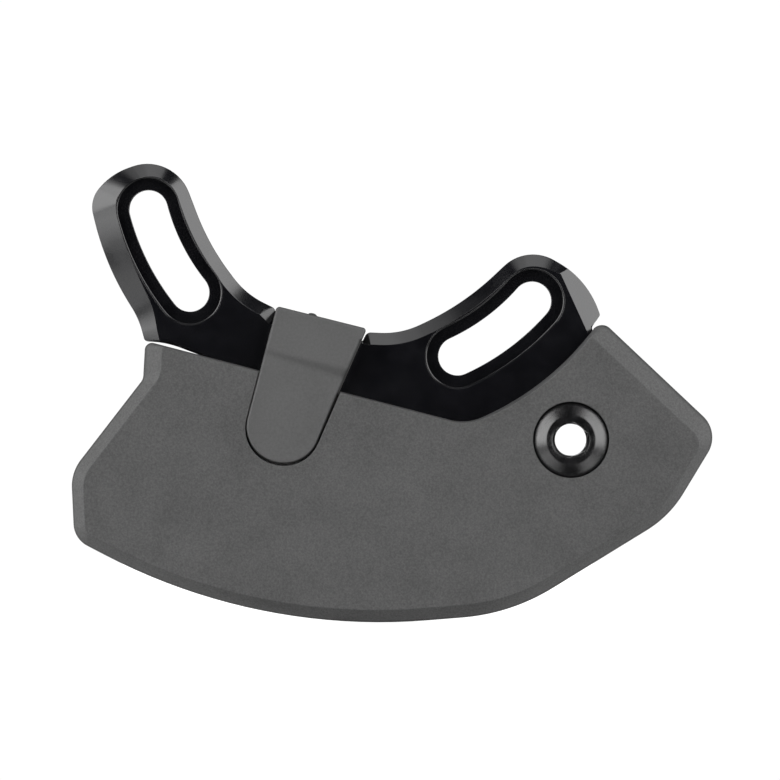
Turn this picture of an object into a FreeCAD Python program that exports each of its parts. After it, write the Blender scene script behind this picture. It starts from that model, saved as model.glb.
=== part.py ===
import FreeCAD, Part

import math
import os

Vector = FreeCAD.Vector

# Frame: the origin lies on the crank axis, in the plane of the plate's back face.
# X runs to the right and Z up as the guard is seen from outside, and the guard's front faces -Y.
# All lengths are in millimetres and all angles in degrees. A height is a distance in front of the back face.

# Frame mount: the two lower bolts of a three-tab chain guide mount
TAB_SPACING = 56.0
TAB_ANGLE = 100.0
GUARD_TILT = 13.4
SLOT_WIDTH = 6.3
SLOT_SWEEP = 24.0
RECESS_WIDTH = 10.5
RECESS_DEPTH = 2.2
RECESS_RIM = 0.25

# Mount plate
PLATE_THICKNESS = 5.0
PLATE_BEVEL_DEPTH = 2.0
PLATE_BEVEL = 2.0
TIP_BEVEL = 2.2
CROWN_BEVEL = 2.9
OUTER_BEVEL = 3.5
CORNER_BEVEL = 2.5
NOTCH_BEVEL = 0.8
PLATE_EDGE_BREAK = 0.35
WING_WALL = 1.72
BRIDGE_WALL = 1.16
OUTER_WALL = 3.76
END_WALL = 5.0
LUG_WALL = 2.0
NOTCH_LEFT_ROUND = 0.8
NOTCH_RIGHT_ROUND = 1.0
NOTCH_FLOOR_ROUND = 0.3
NOTCH_LEFT_RISE = 0.45
NOTCH_RIGHT_RISE = 0.55

# Corners of the plate: millimetres outside a wall of the plate, degrees past a slot, rounding
LEFT_FOOT = (1.8, 14.0, 0.8)
LEFT_WAIST = (0.3, 9.8, 14.0)
LEFT_SHOULDER = (0.1, -5.0, 4.8)
LEFT_CROWN = (-3.96, -9.9, 11.0)
LEFT_TIP = (1.7, -15.0, 7.26)
LEFT_INSIDE = (0.0, 3.9, 40.0)
LEFT_BRIDGE = (0.0, 23.1, 14.0)
RIGHT_BRIDGE = (0.0, -25.3, 13.5)
RIGHT_INSIDE = (0.0, -3.8, 44.0)
RIGHT_TIP = (0.9, 12.1, 6.9)
RIGHT_CROWN = (-4.75, 11.8, 14.5)
RIGHT_FOOT = (0.0, 18.9, 0.6)
RIGHT_NECK = (0.1, 14.7, 0.6)
LOWER_BEND = (-0.64, 16.9, 18.0)
OUTER_ARC_START = -13.1
OUTER_ARC_END = 6.4

# Flat facets on the plate's front: where each starts, the way it faces in the front view, its slope
END_FACET_LAND = 0.8
END_FACET_FACING = 24.5
END_FACET_SLOPE = 42.0
NOTCH_FACET_LAND = 1.34
NOTCH_FACET_DROP = 2.41
NOTCH_FACET_FACING = 35.0
NOTCH_FACET_SLOPE = 46.0
NOTCH_FACET_LENGTH = 3.2

# Guard plate
GUARD_COVER = 3.2
GUARD_BEVEL_DEPTH = 1.7
GUARD_BACK_SETBACK = 0.4
GUARD_BACK_CHAMFER = 0.8
GUARD_SIDE_BEVEL = 2.4
GUARD_BOTTOM_BEVEL = 2.1
GUARD_TOE_BEVEL = 1.7
GUARD_NOSE_BEVEL = 3.2
SEAT_EDGE_BREAK = 0.6
SEAT_GAP = 0.5
SEAT_DROP = 38.75
SEAT_TILT = 1.15
SEAT_ARC_START = 14.9
SEAT_ARC_END = -12.1
SEAT_BEND_ROUND = 8.5
PLATE_POCKET_GAP = 0.25

# Lower corners of the guard: X, rise above its lowest corner, and rounding
GUARD_REACH = 78.6
HEEL = (-47.4, 15.5, 4.2)
SOLE = (-17.65, 0.0, 97.0)
TOE_BEND = (23.9, 3.3, 33.0)
TOE = (49.8, 19.2, 18.0)

# Upper corners of the guard: X, Z and rounding
NOSE = (58.1, -45.7, 4.8)
NOSE_TOP = (38.75, -27.3, 1.8)
BACK_TOP_X = -35.8
BACK_TOP_ROUND = 1.2
BACK_BEND = (-36.15, -37.0, 2.0)
BACK = (-47.9, -52.2, 7.0)

# Retaining clip
CLIP_TILT = 14.05
CLIP_LEFT = -7.9
CLIP_TOP_WIDTH = 15.25
CLIP_END_WIDTH = 11.1
CLIP_TOP_DROP = 27.8
CLIP_LENGTH = 24.75
CLIP_TOP_ROUND = 0.7
CLIP_END_ROUND = 5.9
CLIP_EDGE_ROUND = 0.5
CLIP_BRIDGE = 2.0
CLIP_TONGUE = 1.9
CLIP_RAMP_DROP = 6.7
CLIP_RAMP_LENGTH = 1.6
CLIP_RAMP_RISE = 0.6
CLIP_STEP_GAP = 0.8
CLIP_BACK_LEG = 1.6
CLIP_BACK_LENGTH = 9.5
CLIP_BEAD_RADIUS = 0.6
CLIP_BEAD_DROP = 7.0
CLIP_BEND_ROUND = 1.2
CLIP_POCKET_GAP = 0.4
CLIP_SIDE_GAP = 0.15
CLIP_FIT = 0.1
GATE_ACROSS = -1.8
GATE_RADIUS = 0.9
GATE_RISE = 0.35
GATE_LOW = 3.4
GATE_LENGTH = 2.0

# Guard bolt and sleeve nut
BOLT_X = 33.7
BOLT_Z = -46.9
BOLT_HEAD_DIAMETER = 12.2
BOLT_RIM = 0.9
BOLT_CONE = 0.75
BOLT_CROWN_DIAMETER = 7.95
BOLT_THREAD = 8.0
BOLT_BORE = 5.2
BOLT_LEAD_DIAMETER = 6.1
HEX_ACROSS_FLATS = 5.1
HEX_DEPTH = 3.6
HEX_TURN = 22.0
HEX_SIDES = 6
HEAD_SEAT_DEPTH = 1.8
HEAD_GAP = 0.3
NUT_SLEEVE_DIAMETER = 9.9
NUT_FLANGE_DIAMETER = 13.0
NUT_FLANGE = 1.2
NUT_RECESS = 0.2
NUT_GAP = 0.1
NUT_SLOT_WIDTH = 1.6
NUT_SLOT_DEPTH = 0.6
THREAD_GAP = 0.05
CLAMP_GAP = 0.2

# Small values shared by all pieces
LEAST_ROUND = 0.2
SIDE_LEFT = 0.03
CUT_PAST = 2.0
STRAIGHT_DOWN = 270.0
FULL_TURN = 360.0

# Sizes that follow from the ones above
BOLT_CIRCLE = TAB_SPACING / 2.0 / math.sin(math.radians(TAB_ANGLE / 2.0))
MIDDLE_ANGLE = STRAIGHT_DOWN - GUARD_TILT
LEFT_SLOT_ANGLE = MIDDLE_ANGLE - TAB_ANGLE / 2.0
RIGHT_SLOT_ANGLE = MIDDLE_ANGLE + TAB_ANGLE / 2.0
RECESS_HALF = RECESS_WIDTH / 2.0
OUTER_RADIUS = BOLT_CIRCLE + RECESS_HALF + OUTER_WALL
END_RADIUS = BOLT_CIRCLE + RECESS_HALF + END_WALL
SEAT_RADIUS = END_RADIUS + SEAT_GAP
GUARD_FRONT = PLATE_THICKNESS + GUARD_COVER
CLIP_POCKET_FLOOR = GUARD_FRONT - CLIP_TONGUE - CLIP_FIT
LUG_RADIUS = NUT_FLANGE_DIAMETER / 2.0 + NUT_GAP + LUG_WALL


def polar(radius, angle):
    """Point at a radius and an angle about the crank axis, seen from the front."""
    turn = math.radians(angle)
    return radius * math.cos(turn), radius * math.sin(turn)


def hung(across, drop):
    """Point across and down from the crank axis, in the frame that hangs at the clip's tilt."""
    turn = math.radians(CLIP_TILT)
    x = across * math.cos(turn) - drop * math.sin(turn)
    z = -across * math.sin(turn) - drop * math.cos(turn)
    return x, z


def at(point, height):
    """Front-view point placed at a height in front of the back face."""
    return Vector(point[0], -height, point[1])


def direction(start, end):
    """Unit vector from one front-view point to another."""
    step = (end[0] - start[0], end[1] - start[1])
    length = math.hypot(*step)
    return step[0] / length, step[1] / length


def turn_between(first, second):
    """Signed angle in radians from one direction to the next, positive to the left."""
    cross = first[0] * second[1] - first[1] * second[0]
    dot = first[0] * second[0] + first[1] * second[1]
    return math.atan2(cross, dot)


def meet(point_a, along_a, point_b, along_b):
    """Crossing of two lines, each given by a point and a direction."""
    cross = along_a[0] * along_b[1] - along_a[1] * along_b[0]
    offset = (point_b[0] - point_a[0], point_b[1] - point_a[1])
    reach = (offset[0] * along_b[1] - offset[1] * along_b[0]) / cross
    return point_a[0] + reach * along_a[0], point_a[1] + reach * along_a[1]


def arc_corner(radius, start_angle, end_angle):
    """Corner whose rounding is an arc about the crank axis."""
    half = math.radians(end_angle - start_angle) / 2.0
    return polar(radius / math.cos(half), (start_angle + end_angle) / 2.0) + (radius,)


def tangent_corner(before, centre, radius, after):
    """Corner where the tangents from two points to a circle meet, on the far side of the circle."""
    def leaving(point, side):
        to_centre = math.atan2(centre[1] - point[1], centre[0] - point[0])
        swing = math.asin(radius / math.dist(point, centre))
        return math.cos(to_centre + side * swing), math.sin(to_centre + side * swing)
    corner = meet(before, leaving(before, -1.0), after, leaving(after, 1.0))
    return corner + (radius,)


def fitted_rounds(corners):
    """Tangent length and signed turn at each corner, shortened where two roundings would run together."""
    count = len(corners)
    turns = []
    tangents = []
    for i in range(count):
        into = direction(corners[i - 1], corners[i])
        out = direction(corners[i], corners[(i + 1) % count])
        turn = turn_between(into, out)
        turns.append(turn)
        tangents.append(corners[i][2] * math.tan(abs(turn) / 2.0))
    fitted = list(tangents)
    for i in range(count):
        other = (i + 1) % count
        side = math.dist(corners[i][:2], corners[other][:2])
        share = (1.0 - SIDE_LEFT) * side / (tangents[i] + tangents[other])
        fitted[i] = min(fitted[i], tangents[i] * share)
        fitted[other] = min(fitted[other], tangents[other] * share)
    return turns, fitted


def rounded_wire(corners, place):
    """Closed wire of straight sides and arcs through rounded corners; place puts a point in space."""
    turns, tangents = fitted_rounds(corners)
    count = len(corners)
    arcs = []
    for i in range(count):
        corner = corners[i]
        into = direction(corners[i - 1], corner)
        out = direction(corner, corners[(i + 1) % count])
        reach = tangents[i]
        radius = reach / math.tan(abs(turns[i]) / 2.0)
        rise = radius / math.cos(turns[i] / 2.0) - radius
        inward = direction((0.0, 0.0), (out[0] - into[0], out[1] - into[1]))
        start = (corner[0] - reach * into[0], corner[1] - reach * into[1])
        middle = (corner[0] + rise * inward[0], corner[1] + rise * inward[1])
        end = (corner[0] + reach * out[0], corner[1] + reach * out[1])
        arcs.append((place(start), place(middle), place(end)))
    edges = []
    for i in range(count):
        start, middle, end = arcs[i]
        edges.append(Part.Arc(start, middle, end).toShape())
        edges.append(Part.LineSegment(end, arcs[(i + 1) % count][0]).toShape())
    return Part.Wire(edges)


def flat_wire(corners, height):
    """Rounded outline at one height."""
    return rounded_wire(corners, lambda point: at(point, height))


def inset(corners, distances):
    """Outline moved inwards, side by side; side i runs from corner i to the next corner."""
    count = len(corners)
    moved = []
    for i in range(count):
        into = direction(corners[i - 1], corners[i])
        out = direction(corners[i], corners[(i + 1) % count])
        before = distances[i - 1]
        after = distances[i]
        point_a = (corners[i][0] - before * into[1], corners[i][1] + before * into[0])
        point_b = (corners[i][0] - after * out[1], corners[i][1] + after * out[0])
        x, z = meet(point_a, into, point_b, out)
        shrink = (before + after) / 2.0 * math.copysign(1.0, turn_between(into, out))
        moved.append((x, z, max(corners[i][2] - shrink, LEAST_ROUND)))
    return moved


def outset(corners, distance):
    """Outline moved outwards by one distance."""
    return inset(corners, [-distance] * len(corners))


def prism(corners, low, high):
    """Solid of a rounded outline between two heights."""
    face = Part.Face(flat_wire(corners, low))
    return face.extrude(Vector(0.0, low - high, 0.0))


def slab(sections):
    """Solid with straight flanks through outlines at rising heights."""
    wires = [flat_wire(corners, height) for corners, height in sections]
    return Part.makeLoft(wires, True, True)


def turned(profile, centre):
    """Solid turned about an axis through a front-view point, from points of radius and height."""
    points = [Vector(centre[0] + radius, -height, centre[1]) for radius, height in profile]
    face = Part.Face(Part.makePolygon(points + points[:1]))
    return face.revolve(at(centre, 0.0), Vector(0.0, 1.0, 0.0), FULL_TURN)


def disc(diameter, low, high, centre):
    """Round solid between two heights."""
    return Part.makeCylinder(diameter / 2.0, high - low, at(centre, low), Vector(0.0, -1.0, 0.0))


def slot_wire(middle, width, height):
    """Curved slot along the bolt circle, with round ends."""
    half = width / 2.0
    start = middle - SLOT_SWEEP / 2.0
    end = middle + SLOT_SWEEP / 2.0
    cap = math.degrees(half / BOLT_CIRCLE)
    path = [(BOLT_CIRCLE + half, start), (BOLT_CIRCLE + half, middle), (BOLT_CIRCLE + half, end),
            (BOLT_CIRCLE, end + cap), (BOLT_CIRCLE - half, end), (BOLT_CIRCLE - half, middle),
            (BOLT_CIRCLE - half, start), (BOLT_CIRCLE, start - cap)]
    points = [at(polar(radius, angle), height) for radius, angle in path]
    points.append(points[0])
    edges = [Part.Arc(*points[i:i + 3]).toShape() for i in range(0, len(path), 2)]
    return Part.Wire(edges)


def slot_cut(middle, width, low, high):
    """Solid that cuts a curved slot between two heights."""
    return Part.Face(slot_wire(middle, width, low)).extrude(Vector(0.0, low - high, 0.0))


def facet_cut(start, facing, length, reach, slope):
    """Wedge that cuts a flat facet, from a line on the plate's front down towards the facing angle."""
    turn = math.radians(facing)
    out = Vector(math.cos(turn), 0.0, math.sin(turn))
    along = Vector(-math.sin(turn), 0.0, math.cos(turn))
    up = Vector(0.0, -1.0, 0.0)
    fall = reach * math.tan(math.radians(slope))
    base = at(start, PLATE_THICKNESS) - along * length / 2.0
    corners = [base, base + out * reach - up * fall, base + out * reach + up * CUT_PAST, base + up * CUT_PAST]
    face = Part.Face(Part.makePolygon(corners + corners[:1]))
    return face.extrude(along * length)


def end_facet_cut():
    """Wedge for the flat facet on the right wing, which just clears the end of the recess."""
    recess_end = polar(BOLT_CIRCLE, RIGHT_SLOT_ANGLE + SLOT_SWEEP / 2.0)
    turn = math.radians(END_FACET_FACING)
    clear = RECESS_HALF + END_FACET_LAND
    start = (recess_end[0] + clear * math.cos(turn), recess_end[1] + clear * math.sin(turn))
    return facet_cut(start, END_FACET_FACING, 2.0 * RECESS_WIDTH, RECESS_WIDTH, END_FACET_SLOPE)


def notch_facet_cut():
    """Wedge for the flat facet on the notch's left corner, which ends under the clip."""
    start = hung(notch_sides()[0] - NOTCH_FACET_LAND, CLIP_TOP_DROP + NOTCH_FACET_DROP)
    length = NOTCH_FACET_LENGTH
    return facet_cut(start, NOTCH_FACET_FACING, length, length, NOTCH_FACET_SLOPE)


def clip_corners():
    """Front view of the clip: straight left side, tapering right side, round lower end."""
    right = CLIP_LEFT + CLIP_TOP_WIDTH
    end_right = CLIP_LEFT + CLIP_END_WIDTH
    end_drop = CLIP_TOP_DROP + CLIP_LENGTH
    return [
        hung(CLIP_LEFT, CLIP_TOP_DROP) + (CLIP_TOP_ROUND,),
        hung(CLIP_LEFT, end_drop) + (CLIP_END_ROUND,),
        hung(end_right, end_drop) + (CLIP_END_ROUND,),
        hung(right, CLIP_TOP_DROP) + (CLIP_TOP_ROUND,),
    ]


def clip_back_corners():
    """Front view of the clip's back leg."""
    top = CLIP_TOP_DROP
    end = CLIP_TOP_DROP + CLIP_BACK_LENGTH
    right = CLIP_LEFT + CLIP_END_WIDTH
    return [
        hung(CLIP_LEFT, top) + (CLIP_TOP_ROUND,),
        hung(CLIP_LEFT, end) + (CLIP_BEND_ROUND,),
        hung(right, end) + (CLIP_BEND_ROUND,),
        hung(right, top) + (CLIP_TOP_ROUND,),
    ]


def clip_back_floor():
    """Height of the floor of the recess in the plate's back, which the clip's back leg lies in."""
    return CLIP_BACK_LEG + 2.0 * CLIP_FIT


def clip_bead(extra):
    """Round bead across the clip's back leg, or, with some extra all round, the groove for it."""
    start_across = CLIP_LEFT + CLIP_BEND_ROUND - extra
    end_across = CLIP_LEFT + CLIP_END_WIDTH - CLIP_BEND_ROUND + extra
    drop = CLIP_TOP_DROP + CLIP_BEAD_DROP
    height = CLIP_BACK_LEG + CLIP_FIT
    start = at(hung(start_across, drop), height)
    end = at(hung(end_across, drop), height)
    return Part.makeCylinder(CLIP_BEAD_RADIUS + extra, start.distanceToPoint(end), start, end - start)


def notch_sides():
    """Left wall of the plate's notch, then its right wall at the mouth and at the floor, across from the axis."""
    right = CLIP_LEFT + CLIP_TOP_WIDTH + CLIP_SIDE_GAP
    lean = (CLIP_TOP_WIDTH - CLIP_END_WIDTH) / CLIP_LENGTH
    return CLIP_LEFT - CLIP_SIDE_GAP, right, right - lean * (CLIP_BRIDGE + CLIP_FIT)


def wing_corner(radius, angle, corner):
    """Corner of the plate at its distance outside a radius and its angle past a slot."""
    outside, past, rounding = corner
    return polar(radius + outside, angle + past) + (rounding,)


def plate_corners():
    """Front view of the plate, round from the lower left corner, and the bevel along each side."""
    inner = BOLT_CIRCLE - RECESS_HALF - WING_WALL
    bridge = BOLT_CIRCLE - RECESS_HALF - BRIDGE_WALL
    left = LEFT_SLOT_ANGLE
    right = RIGHT_SLOT_ANGLE
    left_end = LEFT_SLOT_ANGLE - SLOT_SWEEP / 2.0
    right_end = RIGHT_SLOT_ANGLE + SLOT_SWEEP / 2.0
    notch_left, notch_right, notch_floor_right = notch_sides()
    notch_floor = CLIP_TOP_DROP + CLIP_BRIDGE + CLIP_FIT
    lower_bend = wing_corner(OUTER_RADIUS, left, LOWER_BEND)
    neck = wing_corner(END_RADIUS, right, RIGHT_NECK)
    lug = tangent_corner(lower_bend[:2], (BOLT_X, BOLT_Z), LUG_RADIUS, neck[:2])
    outer = arc_corner(OUTER_RADIUS, left + OUTER_ARC_START, left + OUTER_ARC_END)
    sides = [
        (wing_corner(OUTER_RADIUS, left, LEFT_FOOT), PLATE_EDGE_BREAK),
        (lower_bend, PLATE_EDGE_BREAK),
        (lug, PLATE_EDGE_BREAK),
        (neck, PLATE_EDGE_BREAK),
        (wing_corner(END_RADIUS, right, RIGHT_FOOT), PLATE_BEVEL),
        (wing_corner(END_RADIUS, right_end, RIGHT_CROWN), PLATE_BEVEL),
        (wing_corner(inner, right_end, RIGHT_TIP), PLATE_BEVEL),
        (wing_corner(inner, right, RIGHT_INSIDE), PLATE_BEVEL),
        (wing_corner(bridge, right, RIGHT_BRIDGE), PLATE_BEVEL),
        (hung(notch_right, CLIP_TOP_DROP + NOTCH_RIGHT_RISE) + (NOTCH_RIGHT_ROUND,), NOTCH_BEVEL),
        (hung(notch_floor_right, notch_floor) + (NOTCH_FLOOR_ROUND,), NOTCH_BEVEL),
        (hung(notch_left, notch_floor) + (NOTCH_FLOOR_ROUND,), NOTCH_BEVEL),
        (hung(notch_left, CLIP_TOP_DROP + NOTCH_LEFT_RISE) + (NOTCH_LEFT_ROUND,), PLATE_BEVEL),
        (wing_corner(bridge, left, LEFT_BRIDGE), PLATE_BEVEL),
        (wing_corner(inner, left, LEFT_INSIDE), PLATE_BEVEL),
        (wing_corner(inner, left_end, LEFT_TIP), TIP_BEVEL),
        (wing_corner(OUTER_RADIUS, left_end, LEFT_CROWN), CROWN_BEVEL),
        (wing_corner(OUTER_RADIUS, left_end, LEFT_SHOULDER), OUTER_BEVEL),
        (outer, OUTER_BEVEL),
        (wing_corner(OUTER_RADIUS, left, LEFT_WAIST), CORNER_BEVEL),
    ]
    return [corner for corner, bevel in sides], [bevel for corner, bevel in sides]


def lower_corner(corner):
    """Corner of the guard's underside, at its rise above the reach from the crank axis."""
    x, rise, rounding = corner
    return x, rise - GUARD_REACH, rounding


def guard_corners():
    """Front view of the guard, round from its heel, and the bevel along each side."""
    seat_turn = math.radians(GUARD_TILT + SEAT_TILT)
    seat_along = (-math.cos(seat_turn), math.sin(seat_turn))
    seat_point = hung(0.0, SEAT_DROP)
    arc_end = RIGHT_SLOT_ANGLE + SEAT_ARC_END
    arc = arc_corner(SEAT_RADIUS, RIGHT_SLOT_ANGLE + SEAT_ARC_START, arc_end)
    bend = meet(arc, direction(arc, polar(SEAT_RADIUS, arc_end)), seat_point, seat_along)
    back_top = meet(seat_point, seat_along, (BACK_TOP_X, 0.0), (0.0, -1.0))
    sides = [
        (lower_corner(HEEL), GUARD_BOTTOM_BEVEL),
        (lower_corner(SOLE), GUARD_BOTTOM_BEVEL),
        (lower_corner(TOE_BEND), GUARD_TOE_BEVEL),
        (lower_corner(TOE), GUARD_TOE_BEVEL),
        (NOSE, GUARD_NOSE_BEVEL),
        (NOSE_TOP, SEAT_EDGE_BREAK),
        (arc, SEAT_EDGE_BREAK),
        (bend + (SEAT_BEND_ROUND,), SEAT_EDGE_BREAK),
        (back_top + (BACK_TOP_ROUND,), GUARD_SIDE_BEVEL),
        (BACK_BEND, GUARD_SIDE_BEVEL),
        (BACK, GUARD_SIDE_BEVEL),
    ]
    return [corner for corner, bevel in sides], [bevel for corner, bevel in sides]


def make_mount_plate():
    """Machined plate: bevelled outline, counterbored slots, clip notch and recess, bolt lug."""
    corners, bevels = plate_corners()
    edge_breaks = [PLATE_EDGE_BREAK] * len(corners)
    plate = slab([
        (inset(corners, edge_breaks), 0.0),
        (corners, PLATE_EDGE_BREAK),
        (corners, PLATE_THICKNESS - PLATE_BEVEL_DEPTH),
        (inset(corners, bevels), PLATE_THICKNESS),
    ])
    cuts = []
    floor = PLATE_THICKNESS - RECESS_DEPTH
    past_front = PLATE_THICKNESS + CUT_PAST
    for middle in (LEFT_SLOT_ANGLE, RIGHT_SLOT_ANGLE):
        rim_wires = [slot_wire(middle, RECESS_WIDTH, PLATE_THICKNESS - RECESS_RIM),
                     slot_wire(middle, RECESS_WIDTH + 2.0 * RECESS_RIM, PLATE_THICKNESS)]
        cuts.append(Part.makeLoft(rim_wires, True, True))
        cuts.append(slot_cut(middle, RECESS_WIDTH, floor, past_front))
        cuts.append(slot_cut(middle, SLOT_WIDTH, -CUT_PAST, past_front))
    cuts.append(end_facet_cut())
    cuts.append(notch_facet_cut())
    cuts.append(prism(outset(clip_back_corners(), CLIP_SIDE_GAP), -CUT_PAST, clip_back_floor()))
    cuts.append(clip_bead(CLIP_FIT))
    centre = (BOLT_X, BOLT_Z)
    flange_floor = NUT_RECESS + NUT_FLANGE
    cuts.append(disc(NUT_FLANGE_DIAMETER + 2.0 * NUT_GAP, -CUT_PAST, flange_floor, centre))
    cuts.append(disc(NUT_SLEEVE_DIAMETER + 2.0 * NUT_GAP, -CUT_PAST, past_front, centre))
    return plate.cut(cuts)


def make_guard_plate():
    """Moulded guard: bevelled rim, pocket for the plate behind, pocket for the clip, bolt seat."""
    corners, bevels = guard_corners()
    chamfers = [GUARD_BACK_CHAMFER] * len(corners)
    guard = slab([
        (inset(corners, chamfers), GUARD_BACK_SETBACK),
        (corners, GUARD_BACK_SETBACK + GUARD_BACK_CHAMFER),
        (corners, GUARD_FRONT - GUARD_BEVEL_DEPTH),
        (inset(corners, bevels), GUARD_FRONT),
    ])
    past_front = GUARD_FRONT + CUT_PAST
    centre = (BOLT_X, BOLT_Z)
    plate_outline = outset(plate_corners()[0], PLATE_POCKET_GAP)
    head_floor = GUARD_FRONT - HEAD_SEAT_DEPTH
    cuts = [
        prism(plate_outline, -CUT_PAST, PLATE_THICKNESS),
        prism(outset(clip_corners(), CLIP_POCKET_GAP), CLIP_POCKET_FLOOR, past_front),
        disc(BOLT_HEAD_DIAMETER + 2.0 * HEAD_GAP, head_floor, past_front, centre),
        disc(NUT_SLEEVE_DIAMETER + 2.0 * NUT_GAP, -CUT_PAST, past_front, centre),
    ]
    return guard.cut(cuts)


def on_front_rim(edge):
    """Whether an edge of the clip lies on the rim of its front face, and doesn't run across the face."""
    across = at(hung(1.0, 0.0), 0.0)
    down = at(hung(0.0, 1.0), 0.0)
    start, end = edge.ParameterRange
    middle = (start + end) / 2.0
    drop = edge.valueAt(middle).dot(down)
    at_end = drop < CLIP_TOP_DROP + CLIP_TOP_ROUND or drop > CLIP_TOP_DROP + CLIP_LENGTH - CLIP_END_ROUND
    crosses = abs(edge.tangentAt(middle).dot(across)) > abs(edge.tangentAt(middle).dot(down))
    in_front = -edge.BoundBox.YMax > GUARD_FRONT - LEAST_ROUND
    return in_front and (at_end or not crosses)


def clip_gate():
    """Stub on the clip's top edge, where the gate of its mould was trimmed."""
    drop = CLIP_TOP_DROP + GATE_RADIUS - GATE_RISE
    return disc(2.0 * GATE_RADIUS, GATE_LOW, GATE_LOW + GATE_LENGTH, hung(GATE_ACROSS, drop))


def clip_front_leg(back_inner):
    """Front leg and bridge of the clip: a side section carried across and cut to the front view."""
    top = CLIP_TOP_DROP
    over_top = top - CUT_PAST
    past_end = top + CLIP_LENGTH + CUT_PAST
    under_bridge = top + CLIP_BRIDGE
    ramp = top + CLIP_RAMP_DROP
    step = SEAT_DROP - CLIP_STEP_GAP
    tongue_back = CLIP_POCKET_FLOOR + CLIP_FIT
    leg_front = GUARD_FRONT + CLIP_RAMP_RISE
    leg_back = PLATE_THICKNESS + CLIP_FIT
    section = [
        (over_top, back_inner, LEAST_ROUND),
        (over_top, leg_front, LEAST_ROUND),
        (ramp, leg_front, CLIP_BEND_ROUND),
        (ramp + CLIP_RAMP_LENGTH, GUARD_FRONT, CLIP_BEND_ROUND),
        (past_end, GUARD_FRONT, LEAST_ROUND),
        (past_end, tongue_back, LEAST_ROUND),
        (step, tongue_back, LEAST_ROUND),
        (step, leg_back, LEAST_ROUND),
        (under_bridge, leg_back, CLIP_FIT / 2.0),
        (under_bridge, back_inner, CLIP_FIT / 2.0),
    ]
    left = CLIP_LEFT - CUT_PAST
    wire = rounded_wire(section, lambda point: at(hung(left, point[0]), point[1]))
    span = CLIP_TOP_WIDTH + 2.0 * CUT_PAST
    strap = Part.Face(wire).extrude(at(hung(span, 0.0), 0.0))
    leg = strap.common(prism(clip_corners(), back_inner, leg_front + CUT_PAST))
    return leg.makeFillet(CLIP_EDGE_ROUND, [edge for edge in leg.Edges if on_front_rim(edge)])


def make_retaining_clip():
    """Moulded clip: front leg with a ramp and a tongue, bridge over the plate, back leg with a bead."""
    back_inner = CLIP_BACK_LEG + CLIP_FIT
    corners = clip_back_corners()
    back_leg = slab([
        (inset(corners, [CLIP_EDGE_ROUND] * len(corners)), CLIP_FIT),
        (corners, CLIP_FIT + CLIP_EDGE_ROUND),
        (corners, back_inner),
    ])
    clip = clip_front_leg(back_inner).fuse([back_leg, clip_bead(0.0), clip_gate()])
    return clip.removeSplitter()


def make_guard_bolt():
    """Turned hollow bolt: coned flange, flat crown, threaded shank, hexagon socket."""
    seat = GUARD_FRONT - HEAD_SEAT_DEPTH
    rim = seat + BOLT_RIM
    crown = rim + BOLT_CONE
    shank_end = NUT_RECESS + NUT_FLANGE / 2.0
    bore = BOLT_BORE / 2.0
    lead = BOLT_LEAD_DIAMETER / 2.0
    profile = [
        (bore, shank_end),
        (BOLT_THREAD / 2.0, shank_end),
        (BOLT_THREAD / 2.0, seat),
        (BOLT_HEAD_DIAMETER / 2.0, seat),
        (BOLT_HEAD_DIAMETER / 2.0, rim),
        (BOLT_CROWN_DIAMETER / 2.0, crown),
        (lead, crown),
        (bore, crown - (lead - bore)),
    ]
    centre = (BOLT_X, BOLT_Z)
    bolt = turned(profile, centre)
    corner_reach = HEX_ACROSS_FLATS / 2.0 / math.cos(math.pi / HEX_SIDES)
    points = []
    for i in range(HEX_SIDES):
        turn = math.radians(HEX_TURN) + 2.0 * math.pi * i / HEX_SIDES
        point = (BOLT_X + corner_reach * math.cos(turn), BOLT_Z + corner_reach * math.sin(turn))
        points.append(at(point, crown - HEX_DEPTH))
    hexagon = Part.Face(Part.makePolygon(points + points[:1]))
    return bolt.cut(hexagon.extrude(Vector(0.0, -HEX_DEPTH - CUT_PAST, 0.0)))


def make_sleeve_nut():
    """Flanged sleeve nut in the plate's lug, with a wrench slot across its back."""
    flange_top = NUT_RECESS + NUT_FLANGE
    sleeve_end = GUARD_FRONT - HEAD_SEAT_DEPTH - CLAMP_GAP
    bore = BOLT_THREAD / 2.0 + THREAD_GAP
    profile = [
        (bore, NUT_RECESS),
        (NUT_FLANGE_DIAMETER / 2.0, NUT_RECESS),
        (NUT_FLANGE_DIAMETER / 2.0, flange_top),
        (NUT_SLEEVE_DIAMETER / 2.0, flange_top),
        (NUT_SLEEVE_DIAMETER / 2.0, sleeve_end),
        (bore, sleeve_end),
    ]
    nut = turned(profile, (BOLT_X, BOLT_Z))
    length = NUT_FLANGE_DIAMETER + 2.0 * CUT_PAST
    corner = Vector(BOLT_X - length / 2.0, -NUT_RECESS - NUT_SLOT_DEPTH, BOLT_Z - NUT_SLOT_WIDTH / 2.0)
    slot = Part.makeBox(length, NUT_SLOT_DEPTH + CUT_PAST, NUT_SLOT_WIDTH, corner)
    return nut.cut(slot)


PIECES = {
    "mount_plate": make_mount_plate,
    "guard_plate": make_guard_plate,
    "retaining_clip": make_retaining_clip,
    "guard_bolt": make_guard_bolt,
    "sleeve_nut": make_sleeve_nut,
}

os.makedirs("parts", exist_ok=True)
for name, make in PIECES.items():
    piece = make()
    piece.exportStep("parts/" + name + ".step")
    print(name, piece.isValid(), len(piece.Solids), round(piece.Volume, 1))
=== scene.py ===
import math

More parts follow.
